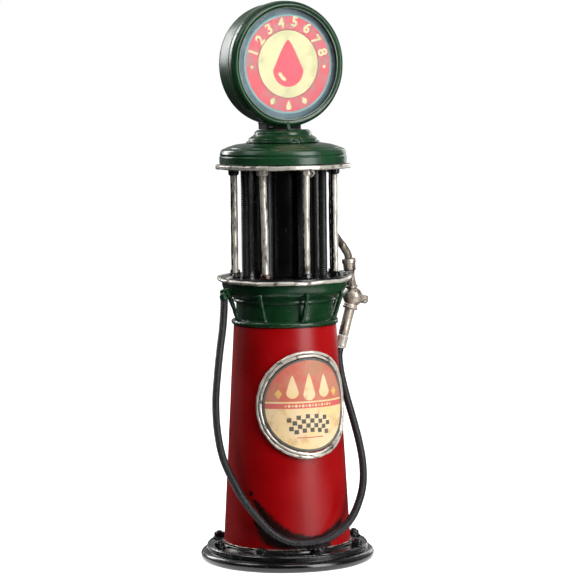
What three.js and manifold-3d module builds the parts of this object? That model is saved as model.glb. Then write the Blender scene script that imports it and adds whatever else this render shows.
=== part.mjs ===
// Desk-top metal model of a vintage visible gas pump: a stepped base and tapered skirt, a flared collar,
// a cage of rods round a dark tank, a stepped cap with a round sign globe, and a nozzle on a hose that
// lifts off its holder.
// Millimetres, +Z up, the badge faces -Y, the origin is the centre of the base's underside.
import * as THREE from "three";
import { mergeVertices } from "three/addons/utils/BufferGeometryUtils.js";
import Module from "manifold-3d";

const wasm = await Module();
wasm.setup();

// ---- driving dimensions ----

const GAP = 0.3; // between pieces that touch
const AROUND = 8; // bolts, struts, rods and posts are all set out in eights
const WIDE = 36; // sides of a wide turned piece
const SLIM = 16; // sides of a slim one

const BASE = {
  radius: 59.5, roll: 3.6, stepRadius: 55.2, stepFoot: 7, deckHeight: 11, padRadius: 45.6, padHeight: 12.7,
};
const BOLT = { circle: 50.5, corner: 3.9, bevel: 0.6, head: 3.4, stub: 2, stubHeight: 1.1 };

const SKIRT = { foot: BASE.padHeight + GAP, footRadius: 43.4, top: 161.2, topRadius: 35, wall: 1.2 };

const BADGE = { height: 110.1, ringRadius: 35, wire: 1.15, wirePitch: 2.15 };
const BADGE_PLATE = { back: 0.6, thick: 0.8 };
const BADGE_LENS = { edge: 0.5, crown: 1.6 };

const COLLAR = { drumRadius: 33.1, drumFoot: 156, flareRadius: 42.8, flareTop: 192.4, wall: 1 };
const COLLAR_RING = { inner: COLLAR.drumRadius + GAP, outer: 36.5, foot: 161.6, height: 3.7 };
const STRUT = { radius: 1.3, topCircle: 41.6, topHeight: 183, footCircle: 35.4, footHeight: 166.2 };

const PLATFORM = { radius: 43.1, bottom: 192.8, top: 194.4 };
const PLATFORM_RIM = { radius: 44.65, wire: 1.25, height: 193.1 };
const CAGE = { foot: PLATFORM.top + GAP, head: 267.7 };
const ROD = { circle: 36.7, radius: 2.4, nutRadius: 3.7, nutHeight: 2.3 };
const POST = { circle: 28.4, radius: 2.7 };
const TANK = { radius: 23.8, wall: 1 };

const TOP_PLATE = { radius: 42.6, bottom: CAGE.head + GAP, thick: 1.2 };
const TOP_RIM = { radius: 44.5, halfWidth: 1.5, halfHeight: 1.85, height: 268.4 };
const CAP = {
  foot: 270.7, radius: 43.2, wallTop: 275.6, ledgeRadius: 39.4, ledgeHeight: 280.8, crown: 284.6, wall: 1.2,
};
const NECK = { foot: 284.9, flangeRadius: 24.8, topRadius: 17.6, top: 293.3, wall: 1.3 };

const GLOBE = {
  centre: [0, 2, 337.6], turn: 4,
  drumRadius: 40.6, front: -7, back: 13.3, wall: 1,
  bezelRadius: 42.4, mouthRadius: 37.4, bezelBack: -4.6,
  dialFrom: -6.6, dialTo: -5.8, lensRadius: 38.9, lensBack: -8.3,
};
const SADDLE = { half: 13.3, leg: 1.6, strap: 1.2, front: -3.6, back: 8.4 };
const SADDLE_PAD = { from: -7.5, to: 12.5 };

const BALL = { centre: [54.4, 6, 177.1], radius: 6.7 };
const NECK_LEAN = 6.8; // degrees, the nozzle's neck leans in towards the cage above the ball
const HANDLE_LEAN = 16; // degrees, the handle leans in towards the skirt below the ball
const NOZZLE_NECK = { radius: 3, flangeRadius: 3.75, flangeTop: 9 };
const SLEEVE = { radius: 4.7, foot: 19.2, top: 26.4 };
const HANDLE = { flangeRadius: 5.4, flangeFrom: 6.2, flangeTo: 8.8, radius: 3.45, foot: 27.8 };
const FERRULE = { radius: 3.9, top: HANDLE.foot + GAP, foot: 36.2 };
const KNOB = { bossRadius: 3.3, bossEnd: 7, radius: 2.95, from: 7.3, to: 11.2, flat: 2.2, shoulder: 8.6 };
const SPOUT_RADIUS = 2.45;
const HOLDER = { inner: 46.4, reach: 53.6, slotEnd: 48.6, slot: 6.7, width: 11, bottom: 193.5, top: 195.2 };

const HOSE_RADIUS = 2.6;
const FITTING = { x: -46.5, y: -4.5, radius: 3.2, foot: 180.3, top: 187.6 };
const FITTING_ARM = { foot: 185.4, reach: -42.9, width: 3.4 };

// The spout rises out of the sleeve and bends in towards the cage: [x, z] in the nozzle's own plane.
const SPOUT_ROUTE = [
  [51.2, 203.9], [50.8, 206.2], [49.3, 209], [47.3, 211.9], [44.9, 215], [42.6, 218], [40.3, 221.1],
];

// The hose leaves the fitting, hangs outside the skirt, runs low round the front and climbs to the ferrule.
const HOSE_ROUTE = [
  [-46.5, -4.5, 180], [-46.7, -4, 172], [-47.2, -2.5, 160], [-48.5, -1, 147], [-50.1, 0.2, 130],
  [-52.2, -1.1, 112], [-53.1, -5.3, 92], [-51.7, -11.1, 74], [-47.2, -18.2, 58.5], [-43, -25.2, 47.2],
  [-35.8, -32.4, 35.2], [-26.8, -38.9, 24.3], [-17.2, -43.9, 18.9], [-6.2, -47.4, 18.1], [5.6, -49.2, 19.8],
  [16.6, -48.4, 24.6], [26.6, -45.4, 31.2], [34.9, -40.3, 40.8], [41.1, -34.8, 52.4], [44.1, -28.7, 66],
  [44.6, -22.1, 80], [44.1, -14.6, 94], [43.4, -7.1, 107], [43.2, -0.1, 119], [43.1, 4.2, 129.5],
  [43.3, 5.9, 137.2],
];

// ---- materials ----

function paint(color, roughness, metalness = 0.1) {
  return new THREE.MeshStandardMaterial({ color, roughness, metalness });
}

const GREEN = paint(0x16402a, 0.38);
const RED = paint(0x8f1015, 0.36);
const BLACK = paint(0x121314, 0.34);
const NICKEL = paint(0xb5a992, 0.36, 0.9);
const RUBBER = paint(0x1a1b1c, 0.6, 0);
const DIAL = paint(0xe3565a, 0.6, 0);
const PLATE = paint(0xc9a663, 0.6, 0);
const CLEAR = paint(0xe8f0f2, 0.05, 0);
CLEAR.transparent = true;
CLEAR.opacity = 0.3;

// ---- helpers ----

const pump = new THREE.Group();
const rad = THREE.MathUtils.degToRad;

function add(name, geometry, material, parent = pump) {
  const mesh = new THREE.Mesh(geometry, material);
  mesh.name = name;
  parent.add(mesh);
  return mesh;
}

// Revolves [radius, height] points round +Y, and round +Z when upright.
function turned(points, segments, upright = true) {
  const profile = points.map(([r, h]) => new THREE.Vector2(r, h));
  const geometry = new THREE.LatheGeometry(profile, segments);
  return upright ? geometry.rotateX(Math.PI / 2) : geometry;
}

// Points of an arc round [cr, ch], from one angle to another in degrees, 0 pointing outwards and 90 up.
function arc(cr, ch, radius, from, to, steps, heightRadius = radius) {
  return Array.from({ length: steps + 1 }, (_, i) => {
    const a = rad(from + ((to - from) * i) / steps);
    return [cr + radius * Math.cos(a), ch + heightRadius * Math.sin(a)];
  });
}

function ringOf(r, h, radius, steps, heightRadius) {
  return arc(r, h, radius, -90, 270, steps, heightRadius);
}

function cylinder(radius, from, to, segments) {
  return turned([[0, from], [radius, from], [radius, to], [0, to]], segments);
}

function tube(points, radius, sides, steps) {
  const curve = new THREE.CatmullRomCurve3(points, false, "centripetal");
  const circle = new THREE.Shape();
  circle.absarc(0, 0, radius, 0, 2 * Math.PI, false);
  return new THREE.ExtrudeGeometry(circle, { steps, curveSegments: sides / 2, extrudePath: curve });
}

function solid(geometry) {
  const bare = geometry.index ? geometry.toNonIndexed() : geometry.clone();
  bare.deleteAttribute("normal");
  bare.deleteAttribute("uv");
  const merged = mergeVertices(bare, 1e-4);
  return new wasm.Manifold(
    new wasm.Mesh({
      numProp: 3,
      vertProperties: merged.attributes.position.array,
      triVerts: new Uint32Array(merged.index.array),
    }),
  );
}

function geometryOf(body) {
  const { vertProperties, triVerts } = body.getMesh();
  const geometry = new THREE.BufferGeometry();
  geometry.setAttribute("position", new THREE.BufferAttribute(vertProperties, 3));
  geometry.setIndex(new THREE.BufferAttribute(triVerts, 1));
  return geometry;
}

function joined(...geometries) {
  return geometryOf(geometries.map(solid).reduce((a, b) => a.add(b)));
}

function cut(geometry, ...tools) {
  return geometryOf(tools.map(solid).reduce((a, b) => a.subtract(b), solid(geometry)));
}

function box(from, to) {
  const size = to.map((v, i) => v - from[i]);
  return new THREE.BoxGeometry(...size).translate(...from.map((v, i) => v + size[i] / 2));
}

// Names and adds the copies of a piece set out evenly round the axis, the first at the front.
function around(name, material, make) {
  for (let i = 0; i < AROUND; i++) {
    const mesh = add(`${name}_${i + 1}`, make(), material);
    mesh.rotation.z = (2 * Math.PI * i) / AROUND;
  }
}

function skirtRadius(z) {
  const share = (z - SKIRT.foot) / (SKIRT.top - SKIRT.foot);
  return SKIRT.footRadius + share * (SKIRT.topRadius - SKIRT.footRadius);
}

// Wraps a flat geometry, drawn in XY and rising along +Z, on the front of the skirt.
function onSkirt(geometry) {
  const place = geometry.getAttribute("position");
  const midRadius = skirtRadius(BADGE.height);
  for (let i = 0; i < place.count; i++) {
    const z = BADGE.height + place.getY(i);
    const turn = place.getX(i) / midRadius;
    const r = skirtRadius(z) + place.getZ(i);
    place.setXYZ(i, r * Math.sin(turn), -r * Math.cos(turn), z);
  }
  return geometry;
}

// ---- base and skirt ----

function basePlate() {
  const { radius, roll, stepRadius, stepFoot, deckHeight, padRadius, padHeight } = BASE;
  add("base_plate", turned([
    [0, 0], ...arc(radius - roll, roll, roll, -90, 100, 6), [stepRadius, stepFoot],
    [stepRadius - 0.4, deckHeight - 0.6], [stepRadius - 1.2, deckHeight], [padRadius, deckHeight],
    [padRadius - 0.6, padHeight], [0, padHeight],
  ], WIDE), BLACK);
}

function baseBolts() {
  const { circle, corner, bevel, head, stub, stubHeight } = BOLT;
  const foot = BASE.deckHeight + GAP;
  const shoulder = foot + head;
  around("base_bolt", BLACK, () => turned([
    [0, foot], [corner, foot], [corner, shoulder - bevel], [corner - bevel, shoulder],
    [stub, shoulder], [stub, shoulder + stubHeight], [0, shoulder + stubHeight],
  ], 6).translate(0, -circle, 0));
}

function skirt() {
  const { foot, footRadius, top, topRadius, wall } = SKIRT;
  add("skirt", turned([
    [footRadius - wall, foot], [footRadius, foot], [topRadius, top], [topRadius - wall, top],
    [footRadius - wall, foot],
  ], WIDE), RED);
}

// ---- badge ----

function badge() {
  const { ringRadius, wire, wirePitch } = BADGE;
  const ring = (radius) => new THREE.TorusGeometry(radius, wire, 6, WIDE).translate(0, 0, wire + GAP);
  const innerRing = ringRadius - wirePitch;
  add("badge_frame", onSkirt(joined(ring(ringRadius), ring(innerRing))), NICKEL);

  const plateRadius = innerRing - wire - GAP;
  const plateFace = BADGE_PLATE.back + BADGE_PLATE.thick;
  const radii = (outer) => [0, 0.2, 0.4, 0.6, 0.8, 1].map((share) => share * outer);
  add("badge_plate", onSkirt(turned([
    ...radii(plateRadius).map((r) => [r, BADGE_PLATE.back]),
    ...radii(plateRadius).toReversed().map((r) => [r, plateFace]),
  ], WIDE)), PLATE);

  const lensRadius = plateRadius - GAP;
  const lensBack = plateFace + GAP;
  const dome = (r) => lensBack + BADGE_LENS.edge + BADGE_LENS.crown * (1 - (r / lensRadius) ** 2);
  add("badge_lens", onSkirt(turned([
    ...radii(lensRadius).map((r) => [r, lensBack]),
    ...radii(lensRadius).toReversed().map((r) => [r, dome(r)]),
  ], WIDE)), CLEAR);
}

// ---- collar ----

// The outside of the collar from its top edge down: flare, rolled bead, drum.
const COLLAR_OUTSIDE = [
  [COLLAR.flareRadius, COLLAR.flareTop], [42.75, 189.8], [42.2, 186.8], [40.3, 183.8], [37, 181.3],
  [34.9, 179.7], [35.2, 178.7], [34.7, 177.7], [COLLAR.drumRadius + 0.2, 177.2],
  [COLLAR.drumRadius, 176.4], [COLLAR.drumRadius, COLLAR.drumFoot],
];

function collar() {
  const plain = COLLAR_OUTSIDE.filter((_, i) => i < 5 || i > 8); // all but the bead
  const inside = plain.map(([r, z]) => [r - COLLAR.wall, z]);
  const outside = COLLAR_OUTSIDE.toReversed();
  add("collar", turned([...outside, ...inside, outside[0]], WIDE), GREEN);

  const { inner, outer, foot, height } = COLLAR_RING;
  const half = height / 2;
  add("collar_ring", turned([
    [inner, foot], ...arc(outer - half, foot + half, half, -90, 90, 6), [inner, foot + height],
    [inner, foot],
  ], WIDE), GREEN);
}

function struts() {
  const { radius, footCircle, footHeight, topCircle, topHeight } = STRUT;
  const foot = new THREE.Vector3(0, -footCircle, footHeight);
  const top = new THREE.Vector3(0, -topCircle, topHeight);
  around("collar_strut", GREEN, () => tube([foot, top], radius, 8, 1));
}

// ---- cage ----

function platform() {
  const { radius, bottom, top } = PLATFORM;
  add("platform", cylinder(radius, bottom, top, WIDE), BLACK);
  const rim = ringOf(PLATFORM_RIM.radius, PLATFORM_RIM.height, PLATFORM_RIM.wire, 8);
  add("platform_rim", turned(rim, WIDE), NICKEL);
}

function cage() {
  const { foot, head } = CAGE;
  const { radius, nutRadius, nutHeight } = ROD;
  around("cage_rod", NICKEL, () => turned([
    [0, foot], [nutRadius, foot], [nutRadius, foot + nutHeight], [radius, foot + nutHeight],
    [radius, head - nutHeight], [nutRadius, head - nutHeight], [nutRadius, head], [0, head],
  ], 10).translate(0, -ROD.circle, 0));
  const post = () => cylinder(POST.radius, foot, head, 10).translate(0, -POST.circle, 0);
  around("ribbed_post", RUBBER, post);
  const outer = TANK.radius;
  const inner = outer - TANK.wall;
  const wall = [[inner, foot], [outer, foot], [outer, head], [inner, head], [inner, foot]];
  add("tank", turned(wall, WIDE), BLACK);
}

function cageTop() {
  const { radius, bottom, thick } = TOP_PLATE;
  add("top_plate", cylinder(radius, bottom, bottom + thick, WIDE), BLACK);
  const rim = ringOf(TOP_RIM.radius, TOP_RIM.height, TOP_RIM.halfWidth, 10, TOP_RIM.halfHeight);
  add("top_rim", turned(rim, WIDE), NICKEL);
}

// ---- cap and neck ----

function cap() {
  const { foot, radius, wallTop, ledgeRadius, ledgeHeight, crown, wall } = CAP;
  const crownRadius = NECK.flangeRadius + 1;
  const inner = radius - wall;
  const outside = [
    [inner, foot], [radius, foot], [radius, wallTop], [radius - 0.5, wallTop + 0.5],
    ...arc(ledgeRadius, wallTop + 1.4, radius - ledgeRadius, 0, 75, 4), [ledgeRadius, ledgeHeight],
    [ledgeRadius - 0.9, ledgeHeight + 0.5], [32.5, 283.4], [crownRadius, crown - 0.1], [0, crown],
  ];
  const inside = [
    [0, crown - wall], [crownRadius, crown - wall - 0.1], [37.5, 280], [40.6, 278.5],
    [inner, wallTop + 0.4], [inner, foot],
  ];
  add("cap", turned([...outside, ...inside], WIDE), GREEN);
}

function neck() {
  const { foot, flangeRadius, topRadius, top, wall } = NECK;
  const inner = flangeRadius - wall;
  const outside = [
    [inner, foot], [flangeRadius, foot], [flangeRadius, foot + 0.7],
    ...arc(20.6, foot + 1.2, 2.7, 10, 80, 3), [20.3, foot + 4.3],
    ...arc(topRadius - 0.4, top - 1.8, 1.8, -10, 90, 3), [0, top],
  ];
  const inside = [[0, top - wall], [topRadius - 1.8, top - wall], [19.8, foot + 2.1], [inner, foot]];
  add("neck", turned([...outside, ...inside], WIDE), GREEN);
}

// ---- sign globe, in its own group: the dial faces -Y, turned a little on its saddle ----

const globe = new THREE.Group();
globe.position.set(...GLOBE.centre);
globe.rotation.z = rad(GLOBE.turn);
pump.add(globe);

function globeShell() {
  const { drumRadius, front, back, wall, bezelRadius, mouthRadius, bezelBack } = GLOBE;
  const inner = drumRadius - wall;
  const corner = 1.5;
  add("globe_drum", turned([
    [inner, front], [drumRadius, front], ...arc(drumRadius - corner, back - corner, corner, 0, 90, 3),
    [0, back], [0, back - wall], [inner - 0.6, back - wall], [inner, back - wall - 0.6], [inner, front],
  ], WIDE, false), GREEN, globe);

  const socket = drumRadius + GAP;
  add("globe_bezel", turned([
    [socket, bezelBack], [socket, -8], [39.4, -10], [mouthRadius, -10.1], [mouthRadius, -11.2],
    [bezelRadius - 4.4, -12.7], [bezelRadius - 2.6, -13.2], [bezelRadius - 0.9, -11.7],
    [bezelRadius, -9], [bezelRadius, -6], [bezelRadius - 0.3, bezelBack], [socket, bezelBack],
  ], WIDE, false), GREEN, globe);
}

function globeFace() {
  const { drumRadius, wall, dialFrom, dialTo, lensRadius, lensBack } = GLOBE;
  const dialRadius = drumRadius - wall - GAP;
  const disc = [[0, dialFrom], [dialRadius, dialFrom], [dialRadius, dialTo], [0, dialTo]];
  add("globe_dial", turned(disc, WIDE, false), DIAL, globe);
  const dome = [[0, -11.1], [15, -10.9], [30, -10.3], [lensRadius, -9.6]];
  add("globe_lens", turned([...dome, [lensRadius, lensBack], [0, lensBack]], WIDE, false), CLEAR, globe);
}

// A strap under the drum on two legs, one side of its middle filled down to the neck.
function saddle() {
  const { half, leg, strap, front, back } = SADDLE;
  const foot = NECK.top + GAP - GLOBE.centre[2];
  const rest = GLOBE.drumRadius + GAP;
  const slab = (from, to) => box([from, front, foot], [to, back, -rest + 3]);
  const [before, behind] = [front - 1, back + 1];
  const disc = (radius) => [[0, before], [radius, before], [radius, behind], [0, behind]];
  const drum = (radius) => turned(disc(radius), WIDE, false);
  const underStrap = cut(slab(-half + leg, half - leg), drum(rest + strap));
  const arch = cut(slab(-half, half), underStrap);
  add("saddle", cut(joined(arch, slab(SADDLE_PAD.from, SADDLE_PAD.to)), drum(rest)), BLACK, globe);
}

// ---- nozzle: everything hangs from the ball, one group leaning each way ----

function leaning(degrees) {
  const group = new THREE.Group();
  group.position.set(...BALL.centre);
  group.rotation.y = rad(degrees);
  pump.add(group);
  return group;
}

const upperNozzle = leaning(-NECK_LEAN);
const lowerNozzle = leaning(HANDLE_LEAN);

function nozzle() {
  const { radius, flangeRadius, flangeTop } = NOZZLE_NECK;
  const neckFoot = BALL.radius + GAP;
  add("nozzle_neck", turned([
    [0, neckFoot], [flangeRadius, neckFoot], [flangeRadius, flangeTop], [radius, flangeTop + 0.6],
    [radius, SLEEVE.foot], [SLEEVE.radius, SLEEVE.foot], [SLEEVE.radius, SLEEVE.top], [0, SLEEVE.top],
  ], SLIM), NICKEL, upperNozzle);

  const ball = new THREE.SphereGeometry(BALL.radius, 20, 12).rotateX(Math.PI / 2);
  const boss = cylinder(KNOB.bossRadius, 3, KNOB.bossEnd, SLIM).rotateY(Math.PI / 2);
  const flange = cylinder(HANDLE.flangeRadius, -HANDLE.flangeTo, -HANDLE.flangeFrom, SLIM);
  add("valve_body", joined(ball, boss, flange), NICKEL, lowerNozzle);

  const grip = cylinder(HANDLE.radius, -HANDLE.foot, -HANDLE.flangeTo - GAP, SLIM);
  add("nozzle_handle", grip, NICKEL, lowerNozzle);
  add("hose_ferrule", cylinder(FERRULE.radius, -FERRULE.foot, -FERRULE.top, SLIM), NICKEL, lowerNozzle);

  const { from, to, flat, shoulder } = KNOB;
  const stub = cylinder(KNOB.radius, from, to, SLIM);
  const clear = 2 * KNOB.radius;
  const flatOnOneSide = box([-clear, flat, shoulder], [clear, clear, to + 1]);
  const flatOnTheOther = box([-clear, -clear, shoulder], [clear, -flat, to + 1]);
  const key = cut(stub, flatOnOneSide, flatOnTheOther).rotateY(Math.PI / 2);
  add("valve_knob", key, NICKEL, lowerNozzle);
}

function spout() {
  const points = SPOUT_ROUTE.map(([x, z]) => new THREE.Vector3(x, BALL.centre[1], z));
  add("nozzle_spout", tube(points, SPOUT_RADIUS, SLIM, 10), NICKEL);
}

function holder() {
  const { inner, reach, slotEnd, slot, width, bottom, top } = HOLDER;
  const mid = BALL.centre[1];
  const plate = box([inner, mid - width / 2, bottom], [reach, mid + width / 2, top]);
  const mouth = box([slotEnd, mid - slot / 2, bottom - 1], [reach + 1, mid + slot / 2, top + 1]);
  add("nozzle_holder", cut(plate, mouth), BLACK);
}

// ---- hose ----

function hose() {
  const { x, y, radius, foot, top } = FITTING;
  const halfArm = FITTING_ARM.width / 2;
  const body = cylinder(radius, foot, top, SLIM).translate(x, y, 0);
  const arm = box([x, y - halfArm, FITTING_ARM.foot], [FITTING_ARM.reach, y + halfArm, top]);
  add("hose_fitting", joined(body, arm), GREEN);

  const points = HOSE_ROUTE.map(([px, py, pz]) => new THREE.Vector3(px, py, pz));
  const lean = rad(HANDLE_LEAN);
  const reach = FERRULE.foot + GAP;
  const [bx, by, bz] = BALL.centre;
  points.push(new THREE.Vector3(bx - reach * Math.sin(lean), by, bz - reach * Math.cos(lean)));
  add("hose", tube(points, HOSE_RADIUS, 8, 40), RUBBER);
}

basePlate();
baseBolts();
skirt();
badge();
collar();
struts();
platform();
cage();
cageTop();
cap();
neck();
globeShell();
globeFace();
saddle();
nozzle();
spout();
holder();
hose();

export default pump;
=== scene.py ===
"""Looks of a desk-top metal gas pump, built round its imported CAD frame.

Shapes are worked out in millimetres and become metres when their objects are made. +Z is up and the badge
faces -Y. Places and sizes come from the CAD nodes' boxes wherever a box can give them.
"""

import math
import random

import bmesh
import bpy
from mathutils import Matrix, Vector, noise


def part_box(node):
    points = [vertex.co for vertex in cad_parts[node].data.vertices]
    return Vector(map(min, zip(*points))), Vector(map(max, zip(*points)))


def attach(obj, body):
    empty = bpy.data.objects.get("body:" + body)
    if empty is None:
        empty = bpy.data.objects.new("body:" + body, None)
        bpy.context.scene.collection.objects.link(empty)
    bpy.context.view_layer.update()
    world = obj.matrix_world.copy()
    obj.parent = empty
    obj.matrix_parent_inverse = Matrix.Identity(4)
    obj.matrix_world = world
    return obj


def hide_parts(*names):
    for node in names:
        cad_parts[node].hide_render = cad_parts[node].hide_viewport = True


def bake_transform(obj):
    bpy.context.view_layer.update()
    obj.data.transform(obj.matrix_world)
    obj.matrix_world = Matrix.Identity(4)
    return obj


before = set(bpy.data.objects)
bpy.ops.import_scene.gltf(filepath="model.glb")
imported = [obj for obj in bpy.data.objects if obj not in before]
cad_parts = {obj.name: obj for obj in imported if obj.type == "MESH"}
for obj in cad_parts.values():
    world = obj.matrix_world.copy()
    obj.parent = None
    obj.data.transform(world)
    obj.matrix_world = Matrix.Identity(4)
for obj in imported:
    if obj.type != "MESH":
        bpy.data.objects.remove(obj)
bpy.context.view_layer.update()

MM = 0.001
AROUND = 8  # bolts, struts, rods and posts stand in eights, the first at the front
APART = 360 / AROUND  # degrees
CHANCE = random.Random(11)
noise.seed_set(11)  # or its vectors would follow the clock
X_AXIS, Y_AXIS, Z_AXIS = Vector((1, 0, 0)), Vector((0, 1, 0)), Vector((0, 0, 1))


def new_object(name, data):
    obj = bpy.data.objects.new(name, data)
    bpy.context.scene.collection.objects.link(obj)
    return obj


# ---- camera ----

VIEW_AZIMUTH = -24  # degrees
VIEW_DISTANCE = 1.6834
VIEW_HEIGHT = 0.327
VIEW_PITCH = 4.8
VIEW_YAW = 0.08
VIEW_ROLL = 0.66
VIEW_LENS = 155

TOWARDS_VIEWER = Matrix.Rotation(math.radians(VIEW_AZIMUTH), 3, "Z") @ -Y_AXIS
TOWARDS_LEFT = Vector((TOWARDS_VIEWER.y, -TOWARDS_VIEWER.x, 0))  # as the viewer sees it


def make_camera():
    data = bpy.data.cameras.new("camera")
    data.lens = VIEW_LENS
    data.sensor_width = 36
    data.clip_end = 50
    camera = new_object("camera", data)
    turn = Matrix.Rotation(math.radians(VIEW_AZIMUTH - VIEW_YAW), 4, "Z")
    tilt = Matrix.Rotation(math.radians(90 - VIEW_PITCH), 4, "X")
    roll = Matrix.Rotation(math.radians(-VIEW_ROLL), 4, "Z")
    place = TOWARDS_VIEWER * VIEW_DISTANCE + Z_AXIS * VIEW_HEIGHT
    camera.matrix_world = Matrix.Translation(place) @ turn @ tilt @ roll
    bpy.context.scene.camera = camera


# ---- shapes, in millimetres ----


class Shape:
    """Vertices and the faces between them, each face with the number of its material."""

    def __init__(self, verts, faces, kinds=None):
        self.verts = [Vector(v) for v in verts]
        self.faces = [tuple(f) for f in faces]
        self.kinds = kinds or [0] * len(self.faces)

    def __add__(self, other):
        first = len(self.verts)
        faces = [tuple(i + first for i in f) for f in other.faces]
        return Shape(self.verts + other.verts, self.faces + faces, self.kinds + other.kinds)

    def by(self, matrix):
        return Shape([matrix @ v for v in self.verts], self.faces, self.kinds)

    def at(self, x=0, y=0, z=0):
        return self.by(Matrix.Translation((x, y, z)))

    def spun(self, degrees, axis="Z"):
        return self.by(Matrix.Rotation(math.radians(degrees), 4, axis))

    def kind(self, number):
        return Shape(self.verts, self.faces, [number] * len(self.faces))

    def bent(self, move):
        return Shape([move(v) for v in self.verts], self.faces, self.kinds)

    def uneven(self, amount, size, seed=0):
        """Moves the vertices by smooth noise, as hand work and thick paint leave them."""
        offset = Vector((seed * 7.3, seed * 3.1, seed * 5.7))
        return self.bent(lambda v: v + amount * noise.noise_vector(v / size + offset))


def arc(cx, cy, radius, start, end, steps=8, y_radius=None):
    """Points of an arc, its angles in degrees from +X."""
    tall = radius if y_radius is None else y_radius
    angles = [math.radians(start + (end - start) * i / steps) for i in range(steps + 1)]
    return [(cx + radius * math.cos(a), cy + tall * math.sin(a)) for a in angles]


def rounded(corners, steps=4):
    """An outline through (x, y) or (x, y, fillet) corners, with a point just outside each fillet."""
    points = []
    for i, corner in enumerate(corners):
        here = Vector(corner[:2])
        fillet = corner[2] if len(corner) > 2 else 0
        if not fillet:
            points.append(tuple(here))
            continue
        back = Vector(corners[i - 1][:2]) - here
        on = Vector(corners[(i + 1) % len(corners)][:2]) - here
        half = back.angle(on) / 2
        reach = min(fillet / math.tan(half), 0.45 * back.length, 0.45 * on.length)
        radius = reach * math.tan(half)
        back.normalize()
        on.normalize()
        centre = here + (back + on).normalized() * (radius / math.sin(half))
        first, last = here + back * reach - centre, here + on * reach - centre
        sweep = first.angle(last)
        if first.x * last.y - first.y * last.x < 0:
            sweep = -sweep
        turns = [Matrix.Rotation(sweep * k / steps, 2) for k in range(steps + 1)]
        points += [tuple(centre + turn @ first) for turn in turns]
    return points


def hoop(low, high, sides):
    """The faces between two rings of vertices, each ring given by the number of its first vertex."""
    pairs = ((k, (k + 1) % sides) for k in range(sides))
    return [(low + k, low + n, high + n, high + k) for k, n in pairs]


def turned(profile, sides=96):
    """Revolves (radius, height) points round Z. A profile ends on the axis or closes on itself."""
    closed = profile[0] == profile[-1]
    verts, rings = [], []
    for r, z in profile[:-1] if closed else profile:
        if r < 1e-6:
            rings.append([len(verts)] * sides)
            verts.append((0, 0, z))
            continue
        rings.append(range(len(verts), len(verts) + sides))
        angles = [2 * math.pi * k / sides for k in range(sides)]
        verts += [(r * math.cos(a), r * math.sin(a), z) for a in angles]
    pairs = list(zip(rings, rings[1:]))
    if closed:
        pairs.append((rings[-1], rings[0]))
    faces = []
    for low, high in pairs:
        for k in range(sides):
            n = (k + 1) % sides
            corners = tuple(dict.fromkeys((low[k], low[n], high[n], high[k])))
            if len(corners) > 2:
                faces.append(corners)
    return Shape(verts, faces)


def ring(radius, height, wire, tall=None, sides=128, steps=16):
    """A wire bent into a ring round Z."""
    profile = arc(radius, height, wire, -90, 270, steps, tall)
    return turned([*profile[:-1], profile[0]], sides)


def disc(radius, bottom, top, fillet=0.3, sides=96):
    return turned(rounded([(0, bottom), (radius, bottom, fillet), (radius, top, fillet), (0, top)]), sides)


def bead(radius_x, radius_y, radius_z, sides=20):
    """A rounded lump about the origin."""
    half = turned([(0, -1), *arc(0, 0, 1, -75, 75, 10), (0, 1)], sides)
    return half.by(Matrix.Diagonal((radius_x, radius_y, radius_z, 1)))


CURVE_STEPS = 24  # between two given points


def smooth_path(points, spacing):
    """Evenly spaced points on the centripetal curve through the given ones."""
    points = [Vector(p) for p in points]
    ends = [2 * points[0] - points[1], *points, 2 * points[-1] - points[-2]]
    fine = []
    for a, b, c, d in zip(ends, ends[1:], ends[2:], ends[3:]):
        t = [0.0]
        for p, q in ((a, b), (b, c), (c, d)):
            t.append(t[-1] + math.sqrt((q - p).length))
        for k in range(CURVE_STEPS):
            u = t[1] + (t[2] - t[1]) * k / CURVE_STEPS
            near = [a.lerp(b, u / t[1]), b.lerp(c, (u - t[1]) / (t[2] - t[1])),
                    c.lerp(d, (u - t[2]) / (t[3] - t[2]))]
            left = near[0].lerp(near[1], u / t[2])
            right = near[1].lerp(near[2], (u - t[1]) / (t[3] - t[1]))
            fine.append(left.lerp(right, (u - t[1]) / (t[2] - t[1])))
    fine.append(points[-1])
    run = [0.0]
    for p, q in zip(fine, fine[1:]):
        run.append(run[-1] + (q - p).length)
    count = max(2, round(run[-1] / spacing))
    even, i = [], 0
    for k in range(count + 1):
        goal = run[-1] * k / count
        while i < len(run) - 2 and run[i + 1] < goal:
            i += 1
        even.append(fine[i].lerp(fine[i + 1], (goal - run[i]) / (run[i + 1] - run[i])))
    return even


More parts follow.
